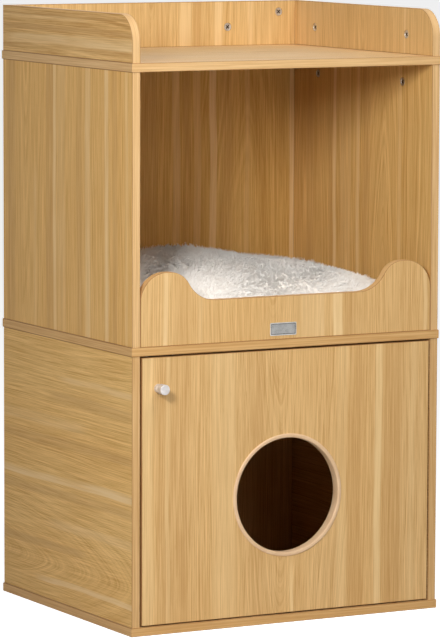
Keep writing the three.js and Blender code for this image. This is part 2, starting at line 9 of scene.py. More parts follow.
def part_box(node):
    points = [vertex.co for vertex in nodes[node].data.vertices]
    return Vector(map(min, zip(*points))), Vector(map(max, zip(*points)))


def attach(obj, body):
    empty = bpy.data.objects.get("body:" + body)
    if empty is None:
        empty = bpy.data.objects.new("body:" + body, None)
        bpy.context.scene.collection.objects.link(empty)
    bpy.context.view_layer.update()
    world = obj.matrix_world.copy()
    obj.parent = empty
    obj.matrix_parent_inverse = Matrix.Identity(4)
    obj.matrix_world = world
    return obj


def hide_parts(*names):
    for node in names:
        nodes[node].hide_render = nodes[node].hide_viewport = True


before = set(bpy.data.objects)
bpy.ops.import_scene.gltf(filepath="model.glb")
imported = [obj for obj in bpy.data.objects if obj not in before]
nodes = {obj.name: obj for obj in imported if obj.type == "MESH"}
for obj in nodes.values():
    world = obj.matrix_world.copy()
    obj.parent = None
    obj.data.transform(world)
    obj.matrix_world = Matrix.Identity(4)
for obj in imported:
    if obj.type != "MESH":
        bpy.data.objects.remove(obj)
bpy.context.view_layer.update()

# ---------------------------------------------------------------- bottom board
# The cabinet stands on this 15 mm particle board, faced with an oak-print melamine whose grain runs
# from side to side. Its four edges carry a paler banding strip, ironed on and trimmed flush.


def paint(red, green, blue):
    """A colour as it is seen (0 to 255) turned into the linear light that a shader takes: c / 12.92 up
    to 0.04045 of full, and ((c + 0.055) / 1.055)^2.4 above that."""
    seen = np.array([red, green, blue]) / 255
    return (*np.where(seen <= 0.04045, seen / 12.92, ((seen + 0.055) / 1.055) ** 2.4), 1.0)


def put(tree, kind, wires=None, **settings):
    """One shader node: its settings, then each input either wired to an output or given a value."""
    made = tree.nodes.new("ShaderNode" + kind)
    for name, value in settings.items():
        setattr(made, name, value)
    for name, value in (wires or {}).items():
        if isinstance(value, bpy.types.NodeSocket):
            tree.links.new(value, made.inputs[name])
        else:
            made.inputs[name].default_value = value
    return made


def calc(tree, work, first, second=0.5, third=0.5):
    """One step of arithmetic on up to three values, done by a Math node."""
    return put(tree, "Math", {0: first, 1: second, 2: third}, operation=work).outputs[0]


def ramped(tree, value, low, high, bottom=0.0, top=1.0):
    """Value carried from bottom to top while it goes from low to high. With s the share of the way,
    the rise is 3 s^2 - 2 s^3, so that both ends are soft."""
    wires = {"Value": value, "From Min": low, "From Max": high, "To Min": bottom, "To Max": top}
    return put(tree, "MapRange", wires, interpolation_type="SMOOTHSTEP").outputs[0]


def blended(tree, share, first, second, way="MIX"):
    """First colour where share is 0. Where it is 1, the second colour, or with the way MULTIPLY the
    first one times the second."""
    wires = {0: share, 6: first, 7: second}
    return put(tree, "Mix", wires, data_type="RGBA", blend_type=way).outputs[2]


def stretched(tree, vector, scale):
    """A vector multiplied axis by axis."""
    return put(tree, "VectorMath", {0: vector, 1: scale}, operation="MULTIPLY").outputs[0]


def noise(tree, vector, detail=1.0, rough=0.5):
    """Cloudy noise, one blob to a unit of the vector."""
    wires = {"Vector": vector, "Scale": 1.0, "Detail": detail, "Roughness": rough}
    return put(tree, "TexNoise", wires).outputs["Fac"]


def new_finish(name):
    """A new material, with its node tree, its shader and the place on the object that it reads."""
    material = bpy.data.materials.new(name)
    material.use_nodes = True
    tree = material.node_tree
    return material, tree, tree.nodes["Principled BSDF"], put(tree, "TexCoord").outputs


def wire_finish(tree, shader, colour, roughness, height, strength, distance):
    """Wires a colour and a roughness into the shader, and bump from a height."""
    tree.links.new(colour, shader.inputs["Base Color"])
    tree.links.new(roughness, shader.inputs["Roughness"])
    bump = put(tree, "Bump", {"Height": height, "Strength": strength, "Distance": distance})
    tree.links.new(bump.outputs[0], shader.inputs["Normal"])


def effect(name, takes, gives):
    """A named node group with its sockets. Returns the group, what comes in and what goes out."""
    group = bpy.data.node_groups.new(name, "ShaderNodeTree")
    for label, kind, value in takes:
        socket = group.interface.new_socket(label, in_out="INPUT", socket_type="NodeSocket" + kind)
        socket.default_value = value
    for label, kind in gives:
        group.interface.new_socket(label, in_out="OUTPUT", socket_type="NodeSocket" + kind)
    coming = group.nodes.new("NodeGroupInput").outputs
    going = group.nodes.new("NodeGroupOutput").inputs
    return group, coming, going


def use(tree, group, wires):
    """Places a node group in a tree, with this material's own values."""
    return put(tree, "Group", wires, node_tree=group).outputs


def oak_print_group():
    """The printed oak, on a board measured across, through and along its grain. Growth rings are nested
    cones cut by the board, so one printed line is one level of
    ring = sqrt((across - heart)^2 + hollow^2) - slant * along / (1 + ((across - heart) / arch)^2),
    which draws Vs along the heart and straight lines far from it. Slow noise bends the lines. Fine and
    broad noise over the ring number shades them, strongly in some places and hardly in others, noise
    stretched far along the grain draws the fibres, and sparse dark strokes are the pores."""
    arch = 0.06
    wide_bend, small_bend = 0.10, 0.011
    broad_lines = 95.0
    fine_share, broad_share, patch_share, fibre_share, pore_share = 0.85, 0.42, 0.34, 1.9, -0.18
    yellowed = (1.0, 0.965, 0.90, 1.0)
    group, takes, gives = effect(
        "oak_print",
        [
            ("Board", "Vector", (0, 0, 0)),
            ("Seed", "Float", 0.0),
            ("Heart", "Float", 0.0),
            ("Hollow", "Float", 0.012),
            ("Slant", "Float", 0.1),
            ("Bend", "Float", 1.0),
            ("Lines", "Float", 330.0),
            ("Contrast", "Float", 1.0),
            ("Dark", "Color", (0, 0, 0, 1)),
            ("Pale", "Color", (1, 1, 1, 1)),
        ],
        [("Color", "Color"), ("Grain", "Float")],
    )
    seed = put(group, "CombineXYZ", {0: 0.0, 1: takes["Seed"], 2: 0.0}).outputs[0]
    place = put(group, "VectorMath", {0: takes["Board"], 1: seed}, operation="ADD").outputs[0]
    axes = put(group, "SeparateXYZ", {0: place}).outputs

    def cloud(across, through, along, detail=1.0, rough=0.5):
        """Noise about 0, with so many blobs to a metre each way."""
        spot = stretched(group, place, (across, through, along))
        return calc(group, "SUBTRACT", noise(group, spot, detail, rough), 0.5)

    moved = calc(group, "MULTIPLY", cloud(5, 5, 1.4, 1.5), takes["Bend"])
    moved = calc(group, "MULTIPLY", moved, wide_bend)
    moved = calc(group, "MULTIPLY_ADD", cloud(24, 24, 4.5), small_bend, moved)
    across = calc(group, "SUBTRACT", calc(group, "ADD", axes[0], moved), takes["Heart"])
    squared = calc(group, "MULTIPLY", across, across)
    hollow = calc(group, "MULTIPLY", takes["Hollow"], takes["Hollow"])
    cone = calc(group, "SQRT", calc(group, "ADD", squared, hollow))
    near = calc(group, "DIVIDE", 1.0, calc(group, "MULTIPLY_ADD", squared, 1 / arch**2, 1.0))
    slide = calc(group, "MULTIPLY", calc(group, "MULTIPLY", axes[2], takes["Slant"]), near)
    ring = calc(group, "SUBTRACT", cone, slide)

    def over_rings(per_metre, shift, detail, rough):
        """Noise about 0 along the ring number alone, the same all over one ring."""
        number = calc(group, "MULTIPLY", ring, per_metre)
        number = calc(group, "MULTIPLY_ADD", takes["Seed"], shift, number)
        wires = {"W": number, "Scale": 1.0, "Detail": detail, "Roughness": rough}
        made = put(group, "TexNoise", wires, noise_dimensions="1D").outputs["Fac"]
        return calc(group, "SUBTRACT", made, 0.5)

    fine = over_rings(takes["Lines"], 7.3, 2.0, 0.62)
    fine = calc(group, "MULTIPLY", fine, ramped(group, cloud(15, 15, 2), -0.2, 0.2, 0.3, 1.3))
    broad = over_rings(broad_lines, 3.1, 1.0, 0.5)
    fibres = cloud(620, 620, 8, 2.0, 0.65)
    pores = ramped(group, cloud(1000, 1000, 42), 0.12, 0.22)
    tone = calc(group, "MULTIPLY", fine, fine_share)
    tone = calc(group, "MULTIPLY_ADD", broad, broad_share, tone)
    tone = calc(group, "MULTIPLY_ADD", cloud(13, 13, 0.7), patch_share, tone)
    tone = calc(group, "MULTIPLY_ADD", fibres, fibre_share, tone)
    tone = calc(group, "MULTIPLY_ADD", pores, pore_share, tone)
    share = calc(group, "MULTIPLY_ADD", tone, takes["Contrast"], 0.5)
    drift = ramped(group, cloud(8, 8, 1.1), -0.2, 0.2, 0.0, 0.8)
    shade = blended(group, share, takes["Dark"], takes["Pale"])
    group.links.new(blended(group, drift, shade, yellowed, "MULTIPLY"), gives["Color"])
    group.links.new(calc(group, "SUBTRACT", calc(group, "ADD", fibres, 0.5), pores), gives["Grain"])
    return group


def streak_group():
    """The mask of one streak along the grain: full between at - width / 2 and at + width / 2, fading out
    over its own distance on each side, and over 70 mm at its two ends."""
    end_fade = 0.07
    group, takes, gives = effect(
        "streak",
        [
            ("Across", "Float", 0.0),
            ("Along", "Float", 0.0),
            ("At", "Float", 0.0),
            ("Width", "Float", 0.01),
            ("Low Fade", "Float", 0.003),
            ("High Fade", "Float", 0.003),
            ("Strength", "Float", 0.6),
            ("From", "Float", -9.0),
            ("To", "Float", 9.0),
        ],
        [("Mask", "Float")],
    )
    away = calc(group, "SUBTRACT", takes["Across"], takes["At"])
    half = calc(group, "MULTIPLY", takes["Width"], 0.5)
    low_end = calc(group, "MULTIPLY", half, -1.0)
    rises = ramped(group, away, calc(group, "SUBTRACT", low_end, takes["Low Fade"]), low_end)
    falls = ramped(group, away, half, calc(group, "ADD", half, takes["High Fade"]), 1.0, 0.0)
    begins = ramped(group, calc(group, "SUBTRACT", takes["Along"], takes["From"]), 0.0, end_fade)
    ends = ramped(group, calc(group, "SUBTRACT", takes["To"], takes["Along"]), 0.0, end_fade)
    mask = calc(group, "MULTIPLY", calc(group, "MULTIPLY", rises, falls), takes["Strength"])
    mask = calc(group, "MULTIPLY", mask, calc(group, "MULTIPLY", begins, ends))
    group.links.new(mask, gives["Mask"])
    return group


def edge_band_group():
    """The banding strip: noise fine across its 15 mm and long both other ways, so that the print runs
    along the strip whichever way the edge turns."""
    printed_line = paint(222, 205, 180)
    group, takes, gives = effect(
        "edge_band",
        [("Band", "Vector", (0, 0, 0)), ("Tone", "Color", (1, 1, 1, 1)), ("Depth", "Float", 0.5)],
        [("Color", "Color")],
    )
    lines = noise(group, stretched(group, takes["Band"], (460, 7, 7)), 2.5, 0.6)
    share = calc(group, "MULTIPLY", ramped(group, lines, 0.3, 0.7), takes["Depth"])
    group.links.new(blended(group, share, takes["Tone"], printed_line, "MULTIPLY"), gives["Color"])
    return group


oak_print = oak_print_group()
streak = streak_group()
edge_band = edge_band_group()


def streaked(tree, colour, streaks, tone, across, along, uneven):
    """The colour with a row of streaks laid over it in one tone, patchy where uneven is low. Where two
    streaks meet, the stronger one counts."""
    mask = None
    for at, width, low, high, strength, *ends in streaks:
        wires = {"Across": across, "Along": along, "At": at, "Width": width}
        wires.update({"Low Fade": low, "High Fade": high, "Strength": strength})
        wires.update(zip(("From", "To"), ends))
        one = use(tree, streak, wires)["Mask"]
        mask = one if mask is None else calc(tree, "MAXIMUM", mask, one)
    if mask is None:
        return colour
    return blended(tree, calc(tree, "MULTIPLY", mask, uneven), colour, paint(*tone))


def glue_and_joint_shade_lines(tree, node, spot, face_axes, thin_axis, on_edge):
    """The mask of a panel's dark edge lines, part glue seam and part painted shade where the pieces meet,
    0.75 up to 0.2 mm from an edge and 0 from 1.3 mm on. A point on a big face is measured to the panel's
    outline, and one on a narrow face across the board's thickness. Each way, the distance is half the
    panel's size less the distance from its middle."""
    full, gone, strength, out_of_reach = 0.0002, 0.0013, 0.75, 9.0
    low, high = (np.array(corner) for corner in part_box(node))
    inside = []
    for axis in (*face_axes, thin_axis):
        off = calc(tree, "SUBTRACT", spot[axis], (low[axis] + high[axis]) / 2)
        inside.append(calc(tree, "SUBTRACT", (high[axis] - low[axis]) / 2, calc(tree, "ABSOLUTE", off)))
    nearest = calc(tree, "MINIMUM", inside[0], inside[1])
    on_face = calc(tree, "SUBTRACT", 1.0, on_edge)
    along_face = calc(tree, "MULTIPLY_ADD", on_edge, out_of_reach, nearest)
    along_strip = calc(tree, "MULTIPLY_ADD", on_face, out_of_reach, inside[2])
    return ramped(tree, calc(tree, "MINIMUM", along_face, along_strip), full, gone, strength, 0.0)


def laminate(
    node,
    across,
    along,
    seed,
    heart=(0.0, 0.05, 0.05),
    bend=1.0,
    lines=330.0,
    contrast=1.0,
    tone=(212, 171, 113),
    band=(216, 177, 124),
    pale=(),
    brown=(),
    pale_tone=(236, 203, 150),
):
    """Oak-print melamine on one panel. The print lies on the two big faces, with its grain along one
    axis, and the banding strip on the narrow ones. A dark line runs along every edge of both, part glue
    seam and part painted shade where the pieces meet. The heart is (at, hollow, slant). A streak is (at,
    width, low fade, high fade, strength), then from and to where it doesn't run the whole length, in
    metres across and along the grain."""
    darker, lighter = (22, 25, 25), (21, 24, 25)
    brown_tone, glue_and_joint_shade_tone = (190, 145, 88), (170, 142, 112)
    sway_width, band_depth, edge_from = 0.016, 0.7, 0.85
    material, tree, shader, place = new_finish(node + "_oak")
    spot = put(tree, "SeparateXYZ", {0: place["Object"]}).outputs
    facing = put(tree, "SeparateXYZ", {0: place["Normal"]}).outputs
    number = {"X": 0, "Y": 1, "Z": 2}
    wide, grain = number[across], number[along]
    thin = 3 - wide - grain
    board = put(tree, "CombineXYZ", {0: spot[wide], 1: spot[thin], 2: spot[grain]}).outputs[0]
    strip = put(tree, "CombineXYZ", {0: spot[thin], 1: spot[wide], 2: spot[grain]}).outputs[0]
    level = np.array(tone)
    wires = {"Board": board, "Seed": seed, "Heart": heart[0], "Hollow": heart[1], "Slant": heart[2]}
    wires.update({"Bend": bend, "Lines": lines, "Contrast": contrast})
    wires.update({"Dark": paint(*(level - darker)), "Pale": paint(*(level + lighter))})
    printed = use(tree, oak_print, wires)
    colour = printed["Color"]

    sway = calc(tree, "SUBTRACT", noise(tree, stretched(tree, board, (5, 5, 3.5)), 2), 0.5)
    swayed = calc(tree, "MULTIPLY_ADD", sway, sway_width, spot[wide])
    uneven = calc(
        tree,
        "MULTIPLY",
        ramped(tree, noise(tree, stretched(tree, board, (300, 300, 9)), 2), 0.3, 0.6, 0.6, 1.0),
        ramped(tree, noise(tree, stretched(tree, board, (35, 35, 5))), 0.25, 0.55, 0.6, 1.0),
    )
    colour = streaked(tree, colour, brown, brown_tone, swayed, spot[grain], uneven)
    colour = streaked(tree, colour, pale, pale_tone, swayed, spot[grain], uneven)

    on_edge = calc(tree, "LESS_THAN", calc(tree, "ABSOLUTE", facing[thin]), edge_from)
    wires = {"Band": strip, "Tone": paint(*band), "Depth": band_depth}
    colour = blended(tree, on_edge, colour, use(tree, edge_band, wires)["Color"])

    # Dark lines along every edge: part glue seam, part painted shade where the pieces meet.
    seam = glue_and_joint_shade_lines(tree, node, spot, (wide, grain), thin, on_edge)
    colour = blended(tree, seam, colour, paint(*glue_and_joint_shade_tone), "MULTIPLY")
    roughness = ramped(tree, printed["Grain"], 0.25, 0.75, 0.52, 0.42)
    wire_finish(tree, shader, colour, roughness, printed["Grain"], 0.25, 0.0002)
    shader.inputs["Specular IOR Level"].default_value = 0.12
    nodes[node].material_slots[0].material = material


laminate("bottom_board", across="Y", along="X", seed=1.3, band=(215, 173, 116))

# ---------------------------------------------------------------- lower side panels
# Two 15 mm panels stand on the bottom board, 1.5 mm inside its edges. Their print lies level, with one
# strong pale streak at half height and arches low down. Their front edges are banded.

laminate(
    "lower_left_side",
    across="Z",
    along="Y",
    seed=2.1,
    tone=(221, 176, 105),
    heart=(0.082, 0.014, 0.25),
    bend=0.75,
    contrast=1.15,
    pale=[
        (0.228, 0.009, 0.002, 0.005, 0.9, -0.3, 0.3),
        (0.233, 0.006, 0.003, 0.004, 0.6, -0.3, 0.0),
        (0.049, 0.007, 0.002, 0.003, 0.8, -0.3, 0.14),
        (0.408, 0.006, 0.003, 0.006, 0.5, -0.3, 0.05),
        (0.330, 0.012, 0.006, 0.008, 0.35, -0.1, 0.3),
        (0.150, 0.010, 0.006, 0.006, 0.35, -0.3, 0.1),
    ],
    brown=[
        (0.375, 0.012, 0.008, 0.004, 0.5, -0.3, 0.1),
        (0.295, 0.010, 0.006, 0.008, 0.5, -0.3, 0.3),
        (0.205, 0.010, 0.006, 0.004, 0.45, -0.3, 0.3),
        (0.110, 0.008, 0.006, 0.006, 0.5, -0.1, 0.3),
    ],
)
laminate("lower_right_side", across="Z", along="Y", seed=3.7, heart=(0.3, 0.02, 0.2))

# ---------------------------------------------------------------- lower back panel
# A 15 mm panel between the two sides closes the tray compartment behind. It shows through the open
# door and from behind.

laminate("lower_back_panel", across="X", along="Z", seed=4.4, heart=(-0.08, 0.010, 0.09))

# ---------------------------------------------------------------- middle board
# The middle board is a board like the one below. It lies on the lower panels and carries the cushion
# and the upper storey, and the door's catch is screwed to its underside.

laminate("middle_board", across="Y", along="X", seed=5.2, band=(216, 174, 117))

# ---------------------------------------------------------------- upper panels
# Two sides and a back form the niche. Their print stands upright, and streaks and arches run the whole
# height. The back panel shows its inner face behind the cushion. The sides' banding is a shade paler.

upper_band = (223, 185, 133)

laminate(
    "upper_left_side",
    across="Y",
    along="Z",
    seed=6.5,
    tone=(218, 171, 101),
    band=upper_band,
    heart=(0.165, 0.012, 0.09),
    bend=0.6,
    pale=[
        (0.043, 0.009, 0.002, 0.003, 0.85),
        (0.018, 0.020, 0.010, 0.010, 0.3),
        (-0.083, 0.014, 0.004, 0.004, 0.55),
        (-0.155, 0.010, 0.003, 0.003, 0.7),
        (-0.228, 0.006, 0.003, 0.003, 0.4),
        (0.120, 0.006, 0.004, 0.003, 0.35, 0.3, 0.8),
    ],
    brown=[
        (0.065, 0.020, 0.012, 0.004, 0.5),
        (0.215, 0.020, 0.012, 0.012, 0.5),
        (-0.050, 0.012, 0.010, 0.006, 0.35),
        (-0.185, 0.010, 0.008, 0.006, 0.4),
    ],
)
laminate(
    "upper_right_side",
    across="Y",
    along="Z",
    seed=7.9,
    tone=(212, 169, 102),
    band=upper_band,
    heart=(-0.09, 0.010, -0.07),
    contrast=0.95,
    pale=[
        (0.085, 0.008, 0.001, 0.003, 0.8),
        (0.004, 0.007, 0.003, 0.002, 0.6),
        (0.045, 0.030, 0.002, 0.010, 0.25),
        (-0.140, 0.006, 0.004, 0.004, 0.3),
    ],
    brown=[
        (0.175, 0.014, 0.012, 0.008, 0.45),
        (0.098, 0.008, 0.003, 0.008, 0.4),
        (-0.025, 0.016, 0.010, 0.004, 0.4),
    ],
)
laminate(
    "upper_back_panel",
    across="X",
    along="Z",
    seed=8.6,
    tone=(212, 169, 98),
    heart=(0.19, 0.010, -0.07),
    contrast=0.95,
    pale=[
        (0.038, 0.010, 0.004, 0.004, 0.5),
        (0.081, 0.010, 0.004, 0.004, 0.45),
        (0.114, 0.011, 0.003, 0.003, 0.85),
        (0.2765, 0.008, 0.002, 0.001, 0.9),
        (0.185, 0.006, 0.003, 0.003, 0.3),
    ],
    brown=[
        (-0.020, 0.030, 0.020, 0.010, 0.4),
        (0.060, 0.010, 0.006, 0.004, 0.4),
        (0.140, 0.016, 0.006, 0.012, 0.35),
    ],
)

# ---------------------------------------------------------------- top board
# The top board lies on the upper panels and closes the niche. Its print is pale and plain, and its
# surface is the tray that the gallery stands on.

pale_print = (218, 181, 131)
laminate("top_board", across="Y", along="X", seed=9.4, contrast=0.7, tone=pale_print, band=upper_band)

# ---------------------------------------------------------------- gallery
# Three rails 80 mm high stand on the top board. Each side rail has one big rounded corner in front,
# and the banding strip runs over the top and round that corner.

laminate(
    "gallery_left_rail",
    across="Z",
    along="Y",
    seed=10.2,
    tone=(212, 168, 104),
    band=upper_band,
    heart=(0.955, 0.02, 0.06),
    bend=0.75,
    lines=200.0,
    contrast=1.35,
    pale=[
        (0.992, 0.011, 0.004, 0.005, 0.75, -0.3, 0.26),
        (1.000, 0.006, 0.004, 0.004, 0.5, -0.3, 0.0),
        (1.030, 0.004, 0.003, 0.003, 0.35, -0.1, 0.3),
    ],
    brown=[
        (1.012, 0.006, 0.003, 0.004, 0.6, -0.3, 0.3),
        (0.980, 0.005, 0.003, 0.003, 0.5, -0.3, 0.3),
        (1.036, 0.003, 0.002, 0.003, 0.4, -0.3, 0.3),
    ],
)
laminate(
    "gallery_right_rail",
    across="Y",
    along="Z",
    seed=11.8,
    tone=(214, 175, 116),
    band=upper_band,
    heart=(0.0, 0.014, 0.12),
    contrast=0.9,
    pale=[(0.182, 0.080, 0.0005, 0.001, 0.4), (-0.154, 0.005, 0.001, 0.001, 0.6)],
)
laminate(
    "gallery_back_rail",
    across="X",
    along="Z",
    seed=12.6,
    tone=(208, 170, 112),
    band=upper_band,
    heart=(0.0, 0.014, 0.12),
    contrast=0.95,
    pale=[
        (0.057, 0.020, 0.003, 0.003, 0.6),
        (0.126, 0.014, 0.003, 0.001, 0.75),
        (0.190, 0.006, 0.002, 0.003, 0.5),
        (-0.060, 0.006, 0.003, 0.003, 0.4),
    ],
    brown=[(0.080, 0.010, 0.006, 0.004, 0.4), (0.010, 0.010, 0.006, 0.004, 0.3)],
)

# ---------------------------------------------------------------- cam locks
# Each zinc cam sits flush in its pocket and draws in the head of a steel bolt that stands in the next
# board. Its rim is bright, and the deep cross slot, turned half way when the joint is locked, is painted
# dark as painted shade, a little of which also lies on the sunk face round it.


def metal(name, tone, roughness, spread=0.08, fineness=900.0, shade_and_tone_colour=None):
    """Metal whose roughness and tone drift with noise, the tone down to 0.8 of itself. Where a mesh
    carries the darkening attribute made by skin, the tone goes over to the darker colour given: painted
    shade in a cam's slot and a plate's groove, and a plate field's own darker tone."""
    material, tree, shader, place = new_finish(name)
    cloud = noise(tree, stretched(tree, place["Object"], (fineness,) * 3), 2)
    worn = noise(tree, stretched(tree, place["Object"], (90, 90, 90)), 2)
    dull = tuple(c * 0.8 for c in paint(*tone)[:3]) + (1.0,)
    colour = blended(tree, ramped(tree, worn, 0.35, 0.65), paint(*tone), dull)
    if shade_and_tone_colour:
        painted_shade_and_tone = put(tree, "Attribute", attribute_name="painted_shade_and_tone").outputs["Fac"]
        colour = blended(tree, painted_shade_and_tone, colour, paint(*shade_and_tone_colour))
    rough = ramped(tree, cloud, 0.3, 0.7, roughness - spread, roughness + spread)
    wire_finish(tree, shader, colour, rough, cloud, 0.2, 0.0001)
    shader.inputs["Metallic"].default_value = 1.0
    return material


def skin(name, points, wrap_rows=False, wrap_columns=False, painted_shade_and_tone=None):
    """A mesh over a grid of points, rows by columns, closed along either way, its poles merged. The
    optional list gives each row, from 0 to 1, how far its finish goes over to a darker colour, kept as an
    attribute: painted shade in slots and grooves, and a plate field's own darker tone."""
    rows, columns = points.shape[:2]
    r = np.arange(rows if wrap_rows else rows - 1)[:, None]
    c = np.arange(columns if wrap_columns else columns - 1)[None, :]
    r2, c2 = (r + 1) % rows, (c + 1) % columns
    quads = np.stack([r * columns + c, r * columns + c2, r2 * columns + c2, r2 * columns + c], -1)
    mesh = bpy.data.meshes.new(name)
    mesh.from_pydata(points.reshape(-1, 3).tolist(), [], quads.reshape(-1, 4).tolist())
    if painted_shade_and_tone is not None:
        layer = mesh.attributes.new("painted_shade_and_tone", "FLOAT", "POINT")
        layer.data.foreach_set("value", np.repeat(np.float32(painted_shade_and_tone), columns))
    work = bmesh.new()
    work.from_mesh(mesh)
    bmesh.ops.remove_doubles(work, verts=work.verts, dist=1e-6)
    bmesh.ops.recalc_face_normals(work, faces=work.faces)
    work.to_mesh(mesh)
    work.free()
    piece = bpy.data.objects.new(name, mesh)
    bpy.context.scene.collection.objects.link(piece)
    return piece


def smooth(piece, angle):
    """Smooth shading, with edges sharper than the angle left crisp."""
    mesh = piece.data
    mesh.polygons.foreach_set("use_smooth", np.ones(len(mesh.polygons), bool))
    work = bmesh.new()
    work.from_mesh(mesh)
    for edge in work.edges:
        edge.smooth = len(edge.link_faces) == 2 and edge.calc_face_angle() < radians(angle)
    work.to_mesh(mesh)
    work.free()
    return piece


def cam_disc(name, centre, out, side, up):
    """Rings round the cam's axis, from the back of its body over the chamfered rim and the sunk face
    down into the slot. In direction a, the slot's edge lies at the greater of
    min(arm / |cos|, half / |sin|) and min(arm / |sin|, half / |cos|), a cross of two bars."""
    radius, depth = 0.0072, 0.0118
    rim_outside, rim_inside, face_inside, face_depth = 0.0069, 0.0061, 0.0058, 0.0004
    arm, half, lip = 0.0038, 0.0009, 0.0002
    slot_top, slot_foot, slot_floor = 0.0007, 0.0026, 0.0028
    turn = np.linspace(0, 2 * pi, 80, endpoint=False)
    cosine, sine = np.abs(np.cos(turn)) + 1e-9, np.abs(np.sin(turn)) + 1e-9
    cross = np.maximum(np.minimum(arm / cosine, half / sine), np.minimum(arm / sine, half / cosine))
    body = [(0, depth), (radius, depth), (radius, face_depth)]
    rim = [(rim_outside, 0), (rim_inside, 0), (face_inside, face_depth)]
    rows = [(np.full(len(turn), reach), deep) for reach, deep in body + rim]
    rows += [(cross + lip, face_depth), (cross, slot_top)]
    rows += [(cross * 0.9, slot_foot), (cross * 0, slot_floor)]
    reach = np.stack([row[0] for row in rows])[..., None]
    deep = np.array([row[1] for row in rows])[:, None, None]
    turn = (turn + pi / 4)[None, :, None]
    points = centre + reach * (np.cos(turn) * side + np.sin(turn) * up) - deep * out
    # The sunk face and the cross slot are painted darker: painted shade.
    return smooth(skin(name, points, wrap_columns=True, painted_shade_and_tone=[0] * 5 + [0.15, 0.2, 1, 1, 1]), 40)


def dress(material, *names):
    """Gives a CAD piece its finish through its own material slot."""
    for name in names:
        nodes[name].material_slots[0].material = material


zinc = metal("zinc_casting", (226, 224, 219), 0.38, shade_and_tone_colour=(84, 74, 62))
steel = metal("zinc_plated_steel", (190, 190, 186), 0.3)
for node in [name for name in nodes if name.endswith("_cam")]:
    low, high = (np.array(corner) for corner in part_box(node))
    middle, thin = (low + high) / 2, int(np.argmin(high - low))
    out = -np.sign(middle[thin]) * np.eye(3)[thin]
    middle[thin] = min(low[thin], high[thin], key=abs)
    cam = cam_disc(node + "_disc", middle, out, np.cross([0, 0, 1], out), np.array([0, 0, 1]))
    cam.data.materials.append(zinc)
    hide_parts(node)
    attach(cam, "cabinet")
dress(steel, *[name for name in nodes if name.endswith("_bolt")])

# ---------------------------------------------------------------- bed guard
# The scalloped guard stands on the middle board between the sides and keeps the cushion in. The
# banding strip follows its lobes and its valley, and a small bare metal plate is pinned to its face.

laminate(
    "bed_guard",
    across="X",
    along="Z",
    seed=13.5,
    heart=(-0.035, 0.012, 0.16),
    bend=0.5,
    contrast=0.95,
    pale=[
        (-0.237, 0.006, 0.001, 0.001, 0.85),
        (-0.169, 0.004, 0.003, 0.003, 0.35),
        (0.047, 0.034, 0.006, 0.003, 0.4),
        (0.067, 0.006, 0.003, 0.002, 0.5),
        (0.099, 0.016, 0.003, 0.001, 0.95),
        (0.271, 0.004, 0.002, 0.002, 0.7),
    ],
    brown=[(-0.205, 0.016, 0.012, 0.010, 0.35), (0.118, 0.012, 0.004, 0.012, 0.35)],
)


def pressed_plate(name, left, right, bottom, top, back, thickness, corner, rim, dish):
    """A pressed plate. Its outline is a rounded rectangle, the corner circles set at the corners'
    centres. Rings of that outline, drawn in by a growing inset, climb the edge, cross the rim and
    step down into the sunk field. Heights are shares of the thickness."""
    turn = np.linspace(0, 2 * pi, 96, endpoint=False) + pi / 96
    centre = np.array([(left + right) / 2, (bottom + top) / 2])
    half = np.array([(right - left) / 2, (top - bottom) / 2])
    side = np.stack([np.cos(turn), np.sin(turn)], -1)
    edge = [(0, 0), (0, 0.7), (0.0002, 0.95), (0.0004, 1), (rim, 1)]
    groove = [(rim + 0.0003, 1 - 2 * dish), (rim + 0.0009, 1 - 2 * dish), (rim + 0.0013, 1 - dish)]
    field = [(half[1] * 0.7, 1 - dish)]
    inset, height = np.array(edge + groove + field).T[..., None, None]
    radius = np.maximum(corner - inset, 0.0002)
    rings = centre + np.sign(side) * (half - inset - radius) + side * radius
    middle = [centre + 0 * side]
    x, z = np.moveaxis(np.concatenate([middle, rings, middle]), -1, 0)
    height = np.concatenate([[[0]], height[..., 0], [[1 - dish]]])
    points = np.stack([x, back - thickness * height + 0 * x, z], -1)
    # The groove rows carry painted shade, and the field rows the plate's own darker tone.
    return smooth(skin(name, points, wrap_columns=True, painted_shade_and_tone=[0] * 6 + [1, 1] + [0.45] * 3), 25)


plate = pressed_plate(
    "guard_plate",
    left=-0.035,
    right=0.016,
    bottom=0.4965,
    top=0.5185,
    back=-0.2485,
    thickness=0.0011,
    corner=0.0018,
    rim=0.0016,
    dish=0.35,
)
# The darker colour is painted shade in the groove and the field's own tone.
plate_metal = metal("plate_aluminium", (206, 206, 204), 0.3, 0.05, 1400.0, shade_and_tone_colour=(96, 94, 90))
plate.data.materials.append(plate_metal)
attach(plate, "cabinet")

# ---------------------------------------------------------------- door
# The inset door is one 15 mm panel with a round hole. Its print stands upright, arched over and under
# the hole. It hangs on the right and opens from the left.

